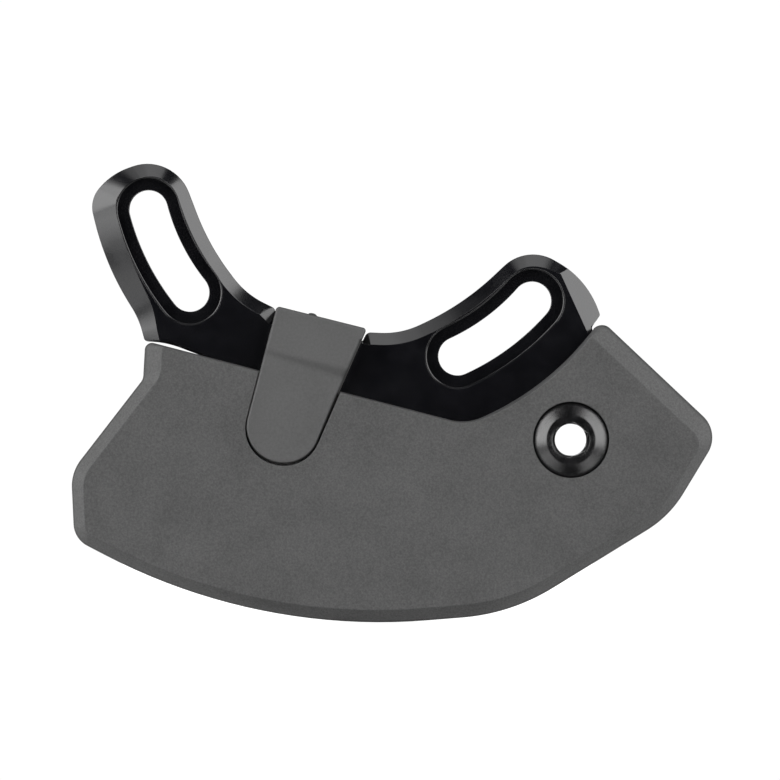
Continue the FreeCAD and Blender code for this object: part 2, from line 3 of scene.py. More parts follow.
import bmesh
import bpy
import numpy as np
from bpy.props import FloatProperty, FloatVectorProperty, IntProperty, PointerProperty
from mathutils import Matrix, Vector


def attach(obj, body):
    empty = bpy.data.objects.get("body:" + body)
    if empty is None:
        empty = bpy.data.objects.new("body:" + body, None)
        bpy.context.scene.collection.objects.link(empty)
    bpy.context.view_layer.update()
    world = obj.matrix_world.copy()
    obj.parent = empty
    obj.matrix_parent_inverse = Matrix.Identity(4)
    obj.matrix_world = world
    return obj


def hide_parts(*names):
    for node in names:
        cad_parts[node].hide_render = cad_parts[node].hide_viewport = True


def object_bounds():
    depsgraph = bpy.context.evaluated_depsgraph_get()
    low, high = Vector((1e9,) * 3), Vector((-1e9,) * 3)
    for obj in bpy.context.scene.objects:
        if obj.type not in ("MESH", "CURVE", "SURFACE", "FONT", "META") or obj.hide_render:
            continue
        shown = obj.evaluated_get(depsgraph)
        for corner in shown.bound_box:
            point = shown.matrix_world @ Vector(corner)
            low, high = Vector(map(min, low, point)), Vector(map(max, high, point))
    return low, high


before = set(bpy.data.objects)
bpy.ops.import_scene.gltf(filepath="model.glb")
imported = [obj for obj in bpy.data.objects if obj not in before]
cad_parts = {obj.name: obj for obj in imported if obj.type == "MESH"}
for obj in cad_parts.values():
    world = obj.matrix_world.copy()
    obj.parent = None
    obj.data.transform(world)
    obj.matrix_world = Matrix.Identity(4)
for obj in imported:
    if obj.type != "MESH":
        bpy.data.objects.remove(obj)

bl_info = {
    "name": "Chainring guard",
    "version": (1, 0, 0),
    "blender": (4, 5, 0),
    "location": "3D View > Sidebar > Guard",
    "description": "Builds a moulded chainring guard, its slotted plate, its clip and its hollow bolt",
    "category": "Object",
}

CAD_BOX = [list(corner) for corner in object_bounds()]

# The frame: X right, Z up, the front faces -Y. A height is a distance in front of the plate's back face.
MM = 0.001

# Front-view corners, anticlockwise, in millimetres: X, Z, rounding, and bevel along the side that follows
PLATE_CORNERS = MM * np.array([
    (-35.960, -30.822, 0.80, 0.12), (-32.585, -30.922, 18.00, 0.35), (46.943, -61.130, 8.60, 0.35),
    (37.170, -28.521, 0.60, 0.35), (38.570, -26.509, 0.60, 2.00), (36.563, -20.771, 14.50, 2.00),
    (26.582, -14.917, 6.90, 2.00), (16.024, -24.865, 44.00, 2.00), (5.906, -29.557, 13.50, 2.00),
    (0.393, -29.323, 1.00, 1.45), (-0.325, -30.741, 0.20, 0.40), (-14.893, -27.095, 0.20, 0.40),
    (-14.493, -25.495, 0.80, 2.00), (-19.495, -22.988, 14.00, 2.00), (-25.488, -15.014, 40.00, 2.00),
    (-31.281, 0.218, 7.26, 2.20), (-41.462, -3.409, 11.00, 2.90), (-45.022, -7.615, 4.80, 3.50),
    (-42.475, -18.249, 45.56, 3.50), (-36.914, -27.215, 14.00, 3.50),
])
GUARD_CORNERS = MM * np.array([
    (-47.400, -63.100, 4.20, 1.80), (-17.650, -78.600, 97.00, 2.10), (23.900, -75.300, 33.00, 1.90),
    (49.800, -59.400, 18.00, 1.70), (58.100, -45.700, 4.80, 3.05), (38.600, -27.300, 1.80, 0.40),
    (29.949, -38.333, 47.30, 0.30), (16.706, -44.368, 8.50, 0.20), (-35.800, -30.741, 1.20, 2.85),
    (-36.150, -37.000, 2.00, 2.00), (-47.900, -52.200, 7.00, 1.90),
])
PLATE_FRONT = 5.0 * MM

# The least rounding, and the distance within which points are one
LEAST_ROUND, SAME_POINT = 0.2 * MM, 0.0005 * MM

# Shares of a side that its two roundings may take up, and of a profile's side that one rounding may
SIDE_USED, PROFILE_USED = 0.97, 0.48

# Angles in degrees from which an edge is sharp
FLAT_SHARP, TURNED_SHARP = 32.0, 24.0

# Points on each corner's arc and along each side
PLATE_STEPS, GUARD_STEPS = (14, 8), (20, 12)

# Slots of the plate: radius of their circle, the angles of their middles and their sweep in degrees
BOLT_CIRCLE = 36.5514 * MM
SLOT_ANGLES = (206.6, 306.6)
SLOT_SWEEP = 24.0

# Flat facets of the plate: X, Z, facing in degrees, span, reach, and slope in degrees
FACETS = {
    "end_facet": (32.9229 * MM, -21.6630 * MM, 24.5, 21.0 * MM, 10.5 * MM, 42.0),
    "notch_facet": (-16.47 * MM, -27.09 * MM, 43.5, 3.8 * MM, 3.8 * MM, 40.5),
}

# Seats in the plate's back for the clip's leg and the sleeve nut
LEG_SEAT_GAP, LEG_SEAT_DEPTH = 0.15 * MM, 1.8 * MM
NUT_SEAT_RADIUS, NUT_SEAT_DEPTH, NUT_HOLE_RADIUS = 6.6 * MM, 1.4 * MM, 5.05 * MM

# Places where the plate's bevel grows or shrinks: X, Z, how far the change reaches, and the share there
BEVEL_CHANGES = ((-43.5 * MM, -9.0 * MM, 9.0 * MM, 1.18), (33.8 * MM, -19.3 * MM, 3.2 * MM, 0.66),
                 (-36.0 * MM, -30.6 * MM, 5.0 * MM, 0.68))

# The clip hangs in a frame that is tilted about the crank axis: drops down it, and sides across it
CLIP_TILT = math.radians(14.05)
CLIP_TOP, CLIP_END, CLIP_BACK_END = 27.8 * MM, 52.55 * MM, 37.3 * MM
CLIP_LEFT, CLIP_END_LEFT = -7.77 * MM, -8.03 * MM
CLIP_RIGHT, CLIP_END_RIGHT = 7.35 * MM, 3.2 * MM
CLIP_BACK_LEFT, CLIP_BACK_RIGHT = -7.9 * MM, 3.2 * MM
CLIP_TOP_ROUND, CLIP_END_ROUND, CLIP_BACK_ROUND = 0.6 * MM, 5.9 * MM, 1.2 * MM

# Heights of the back leg's back, the bridge's end in that leg, the front leg's back and the tongue's back
LEG_LOW, BRIDGE_LOW, LEG_INSIDE, TONGUE_INSIDE = 0.1 * MM, 0.9 * MM, 5.1 * MM, 6.3 * MM
TONGUE_DROP = 37.95 * MM

# Grid over the clip: close steps at its rim, where the even ones start, and the width under which all shrink
RIM_GRID = MM * np.array([0.0, 0.015, 0.06, 0.13, 0.24, 0.4, 0.6, 0.85])
RIM_END, NARROW = 1.1 * MM, 4.0 * MM
GRID_ROWS, GRID_COLUMNS = 90, 20

# The right rim's rounding starts below the top and fades towards the end; the ramp's bends are soft
ROUND_FROM, ROUND_FADE, RAMP_BEND = 2.0 * MM, 14.0 * MM, 0.3 * MM

# The bolt's axis, and the heights of its head's seat and its shank's end
BOLT_CENTRE = MM * np.array([33.7, -46.9])
HEAD_SEAT, SHANK_END = 6.4 * MM, 0.8 * MM

# How far a cutter stands past the face that it cuts, and the ends of the cuts through the guard
OVER = 1.0 * MM
GUARD_CUT = (-2.0 * MM, 12.0 * MM)


# Outlines

def hung(across, drop):
    """X and Z of points across and down from the crank axis, in the clip's tilted frame."""
    x = across * math.cos(CLIP_TILT) - drop * math.sin(CLIP_TILT)
    z = -across * math.sin(CLIP_TILT) - drop * math.cos(CLIP_TILT)
    return x, z


def clip_outline(end, left, right, end_left, end_right, end_round):
    """Corners of a leg of the clip, with its left and right sides at the top and at its end."""
    return np.array([
        (*hung(left, CLIP_TOP), CLIP_TOP_ROUND), (*hung(end_left, end), end_round),
        (*hung(end_right, end), end_round), (*hung(right, CLIP_TOP), CLIP_TOP_ROUND),
    ])


def cross(first, second):
    """Cross product of front-view directions: the sine of the turn between unit ones."""
    return first[:, 0] * second[:, 1] - first[:, 1] * second[:, 0]


def corner_turns(corners):
    """Unit directions into and out of each corner, and the signed turn from one to the other."""
    out = np.roll(corners[:, :2], -1, axis=0) - corners[:, :2]
    out /= np.linalg.norm(out, axis=1, keepdims=True)
    into = np.roll(out, 1, axis=0)
    return into, out, np.arctan2(cross(into, out), (into * out).sum(axis=1))


def left_of(directions):
    """Directions turned a quarter to the left."""
    return np.stack([-directions[:, 1], directions[:, 0]], axis=1)


def rounded_loop(corners, steps=PLATE_STEPS):
    """Closed loop of points: at each corner an arc that touches both sides, then the run to the next corner.
    An arc point is the arc's centre plus its first spoke turned by a share of the corner's turn."""
    arc_steps, side_steps = steps
    into, out, turn = corner_turns(corners)
    points = corners[:, :2]
    bend = np.tan(np.abs(turn) / 2.0)
    tangent = corners[:, 2] * bend
    side = np.linalg.norm(np.roll(points, -1, axis=0) - points, axis=1)
    room = SIDE_USED * side / (tangent + np.roll(tangent, -1))
    tangent = tangent * np.minimum(1.0, np.minimum(room, np.roll(room, 1)))
    start = points - into * tangent[:, None]
    end = points + out * tangent[:, None]
    centre = start + left_of(into) * (np.sign(turn) * tangent / bend)[:, None]
    spoke = (start - centre)[:, None, :]
    sweep = turn[:, None] * np.linspace(0.0, 1.0, arc_steps + 1)
    cosine, sine = np.cos(sweep), np.sin(sweep)
    turned_x = cosine * spoke[..., 0] - sine * spoke[..., 1]
    turned_z = sine * spoke[..., 0] + cosine * spoke[..., 1]
    arc = centre[:, None, :] + np.stack([turned_x, turned_z], axis=-1)
    along = (np.arange(1, side_steps) / side_steps)[None, :, None]
    run = end[:, None, :] * (1.0 - along) + np.roll(start, -1, axis=0)[:, None, :] * along
    return np.concatenate([arc, run], axis=1).reshape(-1, 2)


def inset(corners, distances):
    """Corners moved to the left of travel, each side by its own distance, with roundings to suit."""
    into, out, turn = corner_turns(corners)
    after = np.broadcast_to(distances, len(corners))
    before = np.roll(after, 1)
    point_a = corners[:, :2] + before[:, None] * left_of(into)
    point_b = corners[:, :2] + after[:, None] * left_of(out)
    reach = cross(point_b - point_a, out) / cross(into, out)
    moved = point_a + reach[:, None] * into
    rounding = np.maximum(corners[:, 2] - (before + after) / 2.0 * np.sign(turn), LEAST_ROUND)
    return np.column_stack([moved, rounding])


def raised(loop, height):
    """Loop of front-view points placed at a height."""
    return np.column_stack([loop[:, 0], np.broadcast_to(-np.asarray(height), len(loop)), loop[:, 1]])


def polar(radius, angle):
    """X and Z at a radius and an angle."""
    return np.stack([radius * np.cos(angle), radius * np.sin(angle)], axis=-1)


def slot_loop(middle, half, steps=40, cap_steps=24):
    """Closed loop round a curved slot: arcs about the crank axis at the bolt circle's radius plus and minus
    half the width, joined by half circles about the slot's two end centres."""
    middle, sweep = math.radians(middle), math.radians(SLOT_SWEEP) / 2.0
    part = np.linspace(-1.0, 1.0, steps)
    around = np.pi * np.arange(1, cap_steps) / cap_steps
    last, first = middle + sweep, middle - sweep
    return np.concatenate([
        polar(BOLT_CIRCLE + half, middle + sweep * part),
        polar(BOLT_CIRCLE, last) + polar(half, last + around),
        polar(BOLT_CIRCLE - half, middle - sweep * part),
        polar(BOLT_CIRCLE, first) + polar(half, first + np.pi + around),
    ])


CLIP_CORNERS = clip_outline(CLIP_END, CLIP_LEFT, CLIP_RIGHT, CLIP_END_LEFT, CLIP_END_RIGHT, CLIP_END_ROUND)
CLIP_BACK_CORNERS = clip_outline(CLIP_BACK_END, CLIP_BACK_LEFT, CLIP_BACK_RIGHT, CLIP_BACK_LEFT,
                                 CLIP_BACK_RIGHT, CLIP_BACK_ROUND)


# Surfaces

def softened(sections, reaches, steps=5):
    """Rings through the sections, with the profile's corner at each inner section rounded: there the profile
    follows a quadratic curve from one reach before the corner to one reach after it."""
    rings = [sections[0]]
    part = np.linspace(0.0, 1.0, steps + 1)
    for before, corner, after, reach in zip(sections[:-2], sections[1:-1], sections[2:], reaches):
        to_before, to_after = before - corner, after - corner
        length_before = np.linalg.norm(to_before, axis=1, keepdims=True)
        length_after = np.linalg.norm(to_after, axis=1, keepdims=True)
        step = np.minimum(reach, PROFILE_USED * np.minimum(length_before, length_after))
        start = corner + to_before / length_before * step
        end = corner + to_after / length_after * step
        rings.extend((1 - t) ** 2 * start + 2 * t * (1 - t) * corner + t ** 2 * end for t in part)
    rings.append(sections[-1])
    return np.array(rings)


def ring_quads(rows, count, closed=False):
    """Quads between successive rings: point k and k + 1 of a ring with the same points of the next ring."""
    index = np.arange(rows * count).reshape(rows, count)
    if closed:
        index = np.vstack([index, index[:1]])
    near, far = index[:-1], index[1:]
    quads = [near, np.roll(near, -1, axis=1), np.roll(far, -1, axis=1), far]
    return np.stack(quads, axis=-1).reshape(-1, 4)


def new_mesh(name, points, face_sets, flat_sets=()):
    """Mesh of points and arrays of faces with the same number of corners; the flat sets are shaded flat."""
    sets = [np.atleast_2d(faces) for faces in (*face_sets, *flat_sets)]
    smooth = np.concatenate([np.full(len(faces), i < len(face_sets)) for i, faces in enumerate(sets)])
    sizes = np.concatenate([np.full(len(faces), faces.shape[1]) for faces in sets])
    corners = np.concatenate([faces.ravel() for faces in sets])
    mesh = bpy.data.meshes.new(name)
    mesh.vertices.add(len(points))
    mesh.vertices.foreach_set("co", np.ascontiguousarray(points, dtype=np.float32).ravel())
    mesh.loops.add(len(corners))
    mesh.loops.foreach_set("vertex_index", corners.astype(np.int32))
    mesh.polygons.add(len(sizes))
    mesh.polygons.foreach_set("loop_start", (np.cumsum(sizes) - sizes).astype(np.int32))
    mesh.update(calc_edges=True)
    mesh.polygons.foreach_set("use_smooth", smooth)
    return mesh


def new_object(mesh):
    """Object at the origin that shows a mesh."""
    piece = bpy.data.objects.new(mesh.name, mesh)
    bpy.context.scene.collection.objects.link(piece)
    return piece


def faced_outwards(mesh):
    """Closes the mesh's doubled points and turns its faces outwards."""
    work = bmesh.new()
    work.from_mesh(mesh)
    bmesh.ops.remove_doubles(work, verts=work.verts, dist=SAME_POINT)
    bmesh.ops.recalc_face_normals(work, faces=work.faces)
    work.to_mesh(mesh)
    work.free()
    return mesh


def capped(name, rings):
    """Closed solid: a skin through the rings, and a flat face on the first and the last ring."""
    rows, count = rings.shape[:2]
    last = np.arange(count) + (rows - 1) * count
    mesh = new_mesh(name, rings.reshape(-1, 3), [ring_quads(rows, count)], [np.arange(count)[::-1], last])
    return new_object(faced_outwards(mesh))


def prism(name, loop, low, high):
    """Closed solid over a loop from one height to another."""
    return capped(name, np.array([raised(loop, low), raised(loop, high)]))


def bevelled(name, corners, s, back, front, chamfer, steps, changes=()):
    """Closed solid over corners: a chamfer round its back, a wall, and bevels up to its front. The width and
    depth of the bevels change by a share from point to point."""
    def loop(distances):
        return rounded_loop(inset(corners[:, :3], distances), steps)

    outline = rounded_loop(corners[:, :3], steps)
    part = bevel_share(outline, changes)
    face, inner = (outline + (loop(corners[:, 3] + more) - outline) * part for more in (0.0, s.soft_edge))
    sections = [
        raised(loop(chamfer), back),
        raised(outline, back + chamfer),
        raised(outline, front - s.bevel_depth * part[:, 0]),
        raised(face, front),
        raised(inner, front),
    ]
    return capped(name, softened(sections, [s.soft_edge] * 3))


def bevel_share(outline, changes):
    """Share of the bevel's width and depth at each point: one, plus a bell curve about each change."""
    part = np.ones((len(outline), 1))
    for x, z, reach, there in changes:
        distance = np.linalg.norm(outline - (x, z), axis=1, keepdims=True)
        part += (there - 1.0) * np.exp(-(distance / reach) ** 2)
    return part


def circle(radius, steps=160):
    """Loop of points about the bolt's axis, at one radius or at a radius for each point."""
    return BOLT_CENTRE + polar(radius, 2.0 * np.pi * np.arange(steps) / steps)


def turned(name, radii, heights, steps):
    """Closed skin through rings about the bolt's axis, each with a radius and a height of its own."""
    rings = np.array([raised(circle(radius, steps), height) for radius, height in zip(radii, heights)])
    mesh = new_mesh(name, rings.reshape(-1, 3), [ring_quads(len(rings), steps, closed=True)])
    return new_object(faced_outwards(mesh))


def wedge(name, x, z, facing, span, reach, slope, front):
    """Cutter for a flat facet: a section that falls from a line on the front at the facet's slope, as far as
    its reach, carried along the line for its span."""
    turn = math.radians(facing)
    out = np.array([math.cos(turn), 0.0, math.sin(turn)])
    along = np.array([-math.sin(turn), 0.0, math.cos(turn)])
    up = np.array([0.0, -1.0, 0.0])
    base = np.array([x, -front, z])
    fall = reach * math.tan(math.radians(slope))
    over = 2.0 * OVER
    section = base + np.array([0.0 * out, out * reach - up * fall, out * reach + up * over, up * over])
    return capped(name, np.array([section - along * span / 2.0, section + along * span / 2.0]))


def carved(piece, cutters, unions=()):
    """Cuts the cutters out of a solid, joins others to it, and deletes them."""
    for cutter in (*cutters, *unions):
        step = piece.modifiers.new(cutter.name, "BOOLEAN")
        step.operation = "UNION" if cutter in unions else "DIFFERENCE"
        step.solver = "EXACT"
        step.object = cutter
    evaluated = piece.evaluated_get(bpy.context.evaluated_depsgraph_get())
    mesh = bpy.data.meshes.new_from_object(evaluated)
    old, name = piece.data, piece.data.name
    piece.modifiers.clear()
    piece.data = mesh
    bpy.data.meshes.remove(old)
    mesh.name = name
    for cutter in (*cutters, *unions):
        bpy.data.meshes.remove(cutter.data)
    return piece


def finished(piece, material, cad_node, sharp=FLAT_SHARP):
    """Gives a piece its finish, keeps flats flat between soft edges, and sets it in a CAD node's place."""
    piece.data.materials.clear()
    piece.data.materials.append(material)
    piece.data.set_sharp_from_angle(angle=math.radians(sharp))
    normals = piece.modifiers.new("flats", "WEIGHTED_NORMAL")
    normals.keep_sharp = True
    normals.weight = 100
    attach(piece, "root")
    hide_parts(cad_node)


# Finishes

# Where most of a noise's values lie, and the fine noise's share in a mottle
NOISE_LOW, NOISE_HIGH, FINE_SHARE = 0.3, 0.7, 0.75

# Where an effect is full and where it ends: a painted shade line by distance, painted shade on rims by lean,
# wear by likeness
PAINTED_LINE_FULL, PAINTED_LINE_NONE, PAINTED_LINE_SHADE = 0.10 * MM, 0.28 * MM, 0.45
RIM_LEAN, RIM_FULL, RIM_NONE = 0.55, 0.12, 0.42
WEAR_FULL, WEAR_NONE = 0.75, 0.98


def node(tree, kind, settings=None, **inputs):
    """New shader node with its settings, and its inputs set to values or linked to other nodes' outputs."""
    made = tree.nodes.new(kind)
    for name, value in (settings or {}).items():
        setattr(made, name, value)
    for name, value in inputs.items():
        feed(tree, made.inputs[name.replace("_", " ")], value)
    return made


def feed(tree, socket, value):
    """Links a socket to another node's output, or sets its value."""
    if isinstance(value, bpy.types.NodeSocket):
        tree.links.new(value, socket)
    else:
        socket.default_value = value


def figured(tree, operation, *operands):
    """Result of a math node on values and other nodes' outputs."""
    made = node(tree, "ShaderNodeMath", {"operation": operation})
    for socket, operand in zip(made.inputs, operands):
        feed(tree, socket, operand)
    return made.outputs[0]


def shader_of(name, **inputs):
    """New node material, its tree, its surface shader with values that are the same all over, and places."""
    material = bpy.data.materials.new(name)
    material.use_nodes = True
    tree = material.node_tree
    shader = next(n for n in tree.nodes if n.type == "BSDF_PRINCIPLED")
    for key, value in inputs.items():
        shader.inputs[key.replace("_", " ")].default_value = value
    return material, tree, shader, tree.nodes.new("ShaderNodeTexCoord").outputs["Object"]


def noise(tree, place, scale, detail, roughness=0.5):
    """Noise in space."""
    made = node(tree, "ShaderNodeTexNoise", Vector=place, Scale=scale, Detail=detail, Roughness=roughness)
    return made.outputs["Fac"]


def ranged(tree, value, start, end, low=0.0, high=1.0):
    """Value from a start to an end, spread from low to high."""
    made = node(tree, "ShaderNodeMapRange", Value=value, From_Min=start, From_Max=end, To_Min=low,
                To_Max=high)
    return made.outputs["Result"]


def spread(tree, value, low=0.0, high=1.0):
    """Noise, whose values lie mostly in its middle, spread from low to high."""
    return ranged(tree, value, NOISE_LOW, NOISE_HIGH, low, high)


def shade(colour, part=1.0):
    """Opaque colour at a part of its strength."""
    return (*(part * c for c in colour), 1.0)


def mixed(tree, factor, low, high):
    """Colour from low to high by a factor."""
    return node(tree, "ShaderNodeMix", {"data_type": "RGBA"}, Factor=factor, A=low, B=high).outputs["Result"]


def surfaced(tree, shader, tone, gloss, roughness, vary, height, depth):
    """Gives the shader a tone, a roughness that a noise varies to both sides, and a bump of a depth."""
    bump = node(tree, "ShaderNodeBump", Strength=1.0, Distance=depth, Height=height)
    feed(tree, shader.inputs["Base Color"], tone)
    feed(tree, shader.inputs["Roughness"], spread(tree, gloss, roughness - vary, roughness + vary))
    feed(tree, shader.inputs["Normal"], bump.outputs["Normal"])


def moulded_nylon(name, s, painted_line_height=None, painted_rim_shade=1.0):
    """Glass-filled nylon: a fine matt grain from the mould, with a slight mottle in tone and gloss. A thin
    line of painted shade may lie at one height, and rounded rims may be darkened by painted shade."""
    material, tree, shader, place = shader_of(name, IOR=1.5)
    fine = noise(tree, place, scale=1.0 / s.grain, detail=3.0, roughness=0.62)
    broad = noise(tree, place, scale=160.0, detail=4.0, roughness=0.55)
    rest = figured(tree, "MULTIPLY", broad, 1.0 - FINE_SHARE)
    grain = spread(tree, figured(tree, "MULTIPLY_ADD", fine, FINE_SHARE, rest))
    tone = mixed(tree, grain, shade(s.colour, 1.0 - s.mottle), shade(s.colour, 1.0 + s.mottle))
    # Painted shade: a dark line at one height
    if painted_line_height is not None:
        tone = painted_shade_line(tree, place, tone, shade(s.colour, PAINTED_LINE_SHADE), painted_line_height)
    # Painted shade: a darker colour on the rounded rims
    if painted_rim_shade < 1.0:
        tone = rims_with_painted_shade(tree, tone, shade(s.colour, painted_rim_shade))
    surfaced(tree, shader, tone, broad, s.roughness, vary=0.05, height=fine, depth=s.grain_depth)
    return material


def painted_shade_line(tree, place, tone, colour, height):
    """Tone that turns to a colour in a thin line at one height, and fades back to itself beside it: a painted
    shade line.
    """
    split = node(tree, "ShaderNodeSeparateXYZ", Vector=place)
    away = figured(tree, "ABSOLUTE", figured(tree, "ADD", split.outputs["Y"], height))
    return mixed(tree, ranged(tree, away, PAINTED_LINE_FULL, PAINTED_LINE_NONE), colour, tone)


def rims_with_painted_shade(tree, tone, colour):
    """Tone on flat faces and walls, and a colour on the rounded rims between them, where the forward share of
    the normal is near the rims' lean. The rims' colour is painted shade."""
    split = node(tree, "ShaderNodeSeparateXYZ", Vector=node(tree, "ShaderNodeNewGeometry").outputs["Normal"])
    past = figured(tree, "SUBTRACT", figured(tree, "ABSOLUTE", split.outputs["Y"]), RIM_LEAN)
    return mixed(tree, ranged(tree, figured(tree, "ABSOLUTE", past), RIM_FULL, RIM_NONE), colour, tone)


def worn_edges(tree, tone, colour, width):
    """Tone that turns to a colour at edges, where the normal averaged over a width leaves the true normal."""
    soft = node(tree, "ShaderNodeBevel", {"samples": 4}, Radius=width)
    true = node(tree, "ShaderNodeNewGeometry")
    likeness = node(tree, "ShaderNodeVectorMath", {"operation": "DOT_PRODUCT"})
    for socket, source in zip(likeness.inputs, (soft, true)):
        feed(tree, socket, source.outputs["Normal"])
    return mixed(tree, ranged(tree, likeness.outputs["Value"], WEAR_FULL, WEAR_NONE), colour, tone)


def black_anodise(name, s):
    """Bead-blasted and black anodised aluminium: a near-black oxide with a satin gloss and a fine grain, worn
    a little at its edges."""
    material, tree, shader, place = shader_of(name, IOR=s.ior)
    fine = noise(tree, place, scale=9000.0, detail=2.0)
    broad = noise(tree, place, scale=220.0, detail=4.0, roughness=0.6)
    tone = mixed(tree, spread(tree, broad), shade(s.colour, 0.8), shade(s.colour, 1.25))
    tone = worn_edges(tree, tone, shade(s.edge_colour), s.edge_wear)
    surfaced(tree, shader, tone, broad, s.roughness, vary=0.03, height=fine, depth=s.grain_depth)
    return material


def turned_anodise(name, s):
    """Turned and black anodised aluminium: fine rings about the bolt's axis, uneven in depth."""
    material, tree, shader, place = shader_of(name, IOR=s.ior)
    centre = node(tree, "ShaderNodeMapping", Vector=place, Location=(-BOLT_CENTRE[0], 0.0, -BOLT_CENTRE[1]))
    rings = node(tree, "ShaderNodeTexWave", {"wave_type": "RINGS", "rings_direction": "Y"},
                 Vector=centre.outputs["Vector"], Scale=1.0 / s.ring_pitch, Distortion=0.6, Detail=2.0,
                 Detail_Scale=0.4)
    broad = noise(tree, place, scale=600.0, detail=3.0)
    tone = mixed(tree, spread(tree, broad), shade(s.colour, 0.7), shade(s.colour, 1.5))
    surfaced(tree, shader, tone, broad, s.roughness, vary=0.05, height=rings.outputs["Fac"],
             depth=s.ring_depth)
    return material


# Sizes and colours that a user may change

def length(name, description, default):
    """Length property in metres."""
    return FloatProperty(name=name, description=description, default=default, min=0.0, unit="LENGTH")


def tint(name, description, default):
    """Colour property."""
    return FloatVectorProperty(name=name, description=description, default=default, size=3, min=0.0, max=1.0,
                               subtype="COLOR")


def share(name, description, default):
    """Property from 0 to 1."""
    return FloatProperty(name=name, description=description, default=default, min=0.0, max=1.0,
                         subtype="FACTOR")


def amount(name, description, default, least=0.0):
    """Plain number."""
    return FloatProperty(name=name, description=description, default=default, min=least)


class PlateSettings(bpy.types.PropertyGroup):
    """Machined plate that bolts to the bicycle's frame."""
    thickness: length("Thickness", "Front face above the back face", PLATE_FRONT)
    bevel_depth: length("Bevel depth", "How far the front bevels fall", 0.002)
    edge_break: length("Edge break", "Chamfer round the back edge", 0.00035)
    soft_edge: length("Soft edge", "Rounding of the machined edges", 0.00012)
    slot_width: length("Slot width", "Width of the through slots", 0.0063)
    recess_width: length("Recess width", "Width of the screw head's recess", 0.0105)
    recess_depth: length("Recess depth", "Depth of the screw head's recess", 0.0022)
    recess_rim: length("Recess rim", "Chamfer round the recess", 0.00014)
    colour: tint("Colour", "Colour of the oxide", (0.0015, 0.0016, 0.0029))
    edge_colour: tint("Edge colour", "Colour of the worn edges", (0.020, 0.020, 0.022))
    edge_wear: length("Edge wear", "Width of the wear along the edges", 0.00012)
    roughness: share("Roughness", "Roughness of the surface", 0.21)
    grain_depth: length("Grain depth", "Depth of the blasted grain", 0.0000012)
    ior: amount("Index", "Refractive index of the oxide", 1.78, 1.0)


class GuardSettings(bpy.types.PropertyGroup):
    """Moulded guard in front of the plate."""
    front: length("Front", "Height of the front face", 0.0082)
    bevel_depth: length("Bevel depth", "How far the front bevels fall", 0.0017)
    back: length("Back", "Height of the back face", 0.0004)
    back_chamfer: length("Back chamfer", "Chamfer round the back face", 0.0008)
    soft_edge: length("Soft edge", "Rounding of the moulded edges", 0.0003)
    plate_gap: length("Plate gap", "Clearance round the plate", 0.00025)
    clip_left_gap: length("Clip left gap", "Clearance at the clip's left side", 0.00011)
    clip_right_gap: length("Clip right gap", "Clearance at the clip's right side", 0.00022)
    clip_end_gap: length("Clip end gap", "Clearance at the clip's ends", 0.00042)
    clip_floor: length("Clip pocket floor", "Height of the clip pocket's floor", 0.0062)
    head_depth: length("Head depth", "Depth of the bolt head's seat", 0.0018)
    head_diameter: length("Head seat", "Diameter of the bolt head's seat", 0.01244)
    hole_diameter: length("Hole", "Diameter of the sleeve nut's hole", 0.0101)
    colour: tint("Colour", "Colour of the nylon", (0.0765, 0.0765, 0.0765))
    roughness: share("Roughness", "Roughness of the surface", 0.58)
    grain: length("Grain", "Size of the mould's grain", 0.0003)
    grain_depth: length("Grain depth", "Depth of the mould's grain", 0.00002)
    mottle: share("Mottle", "How far the tone varies", 0.36)


class ClipSettings(bpy.types.PropertyGroup):
    """Moulded clip that hooks over the plate and holds the guard's edge."""
    leg_front: length("Leg front", "Height of the leg's front face", 0.0088)
    ramp_drop: length("Ramp drop", "Where the ramp starts below the top", 0.0072)
    ramp_left: length("Ramp at left", "Length of the ramp at the left side", 0.0008)
    ramp_right: length("Ramp at right", "Length of the ramp at the right side", 0.0018)
    ramp_slope: share("Ramp slope", "Fall of the ramp over its length", 0.44)
    left_round: length("Left rounding", "Rounding of the front's left rim", 0.0003)
    right_round: length("Right rounding", "Rounding of the front's right rim", 0.00085)
    back_round: length("Back rounding", "Rounding of the back leg's rim", 0.0005)
    bridge: length("Bridge", "Thickness of the bridge over the plate", 0.002)
    back_leg: length("Back leg", "Thickness of the back leg", 0.0016)
    colour: tint("Colour", "Colour of the nylon", (0.095, 0.095, 0.095))
    # The darker colour on the clip's rims is painted shade
    painted_rim_shade: share("Rim shade", "Part of the colour on polished rims", 0.35)
    roughness: share("Roughness", "Roughness of the surface", 0.5)
    grain: length("Grain", "Size of the mould's grain", 0.0004)
    grain_depth: length("Grain depth", "Depth of the mould's grain", 0.000008)
    mottle: share("Mottle", "How far the tone varies", 0.14)


class BoltSettings(bpy.types.PropertyGroup):
    """Hollow bolt and its sleeve nut."""
    head_diameter: length("Head", "Diameter of the bolt's flange", 0.0122)
    crown_diameter: length("Crown", "Diameter of the flat round the socket", 0.00795)
    rim: length("Rim", "Height of the flange's edge", 0.0009)
    cone: length("Cone", "Rise of the flange's cone", 0.00075)
    hexagon: length("Hexagon", "Size across the hexagon's flats", 0.0051)
    bore: length("Bore", "Diameter of the bore", 0.0052)
    thread: length("Thread", "Diameter of the thread", 0.008)
    flange_diameter: length("Nut flange", "Diameter of the nut's flange", 0.013)
    sleeve_diameter: length("Nut sleeve", "Diameter of the nut's sleeve", 0.0099)
    turn_steps: IntProperty(name="Steps", description="Points round the bolt", default=180, min=36)
    colour: tint("Colour", "Colour of the oxide", (0.0045, 0.0045, 0.005))
    roughness: share("Roughness", "Roughness of the surface", 0.22)
    ring_pitch: length("Ring pitch", "Distance between the turning marks", 0.00016)
    ring_depth: length("Ring depth", "Depth of the turning marks", 0.0000016)
    ior: amount("Index", "Refractive index of the oxide", 1.95, 1.0)


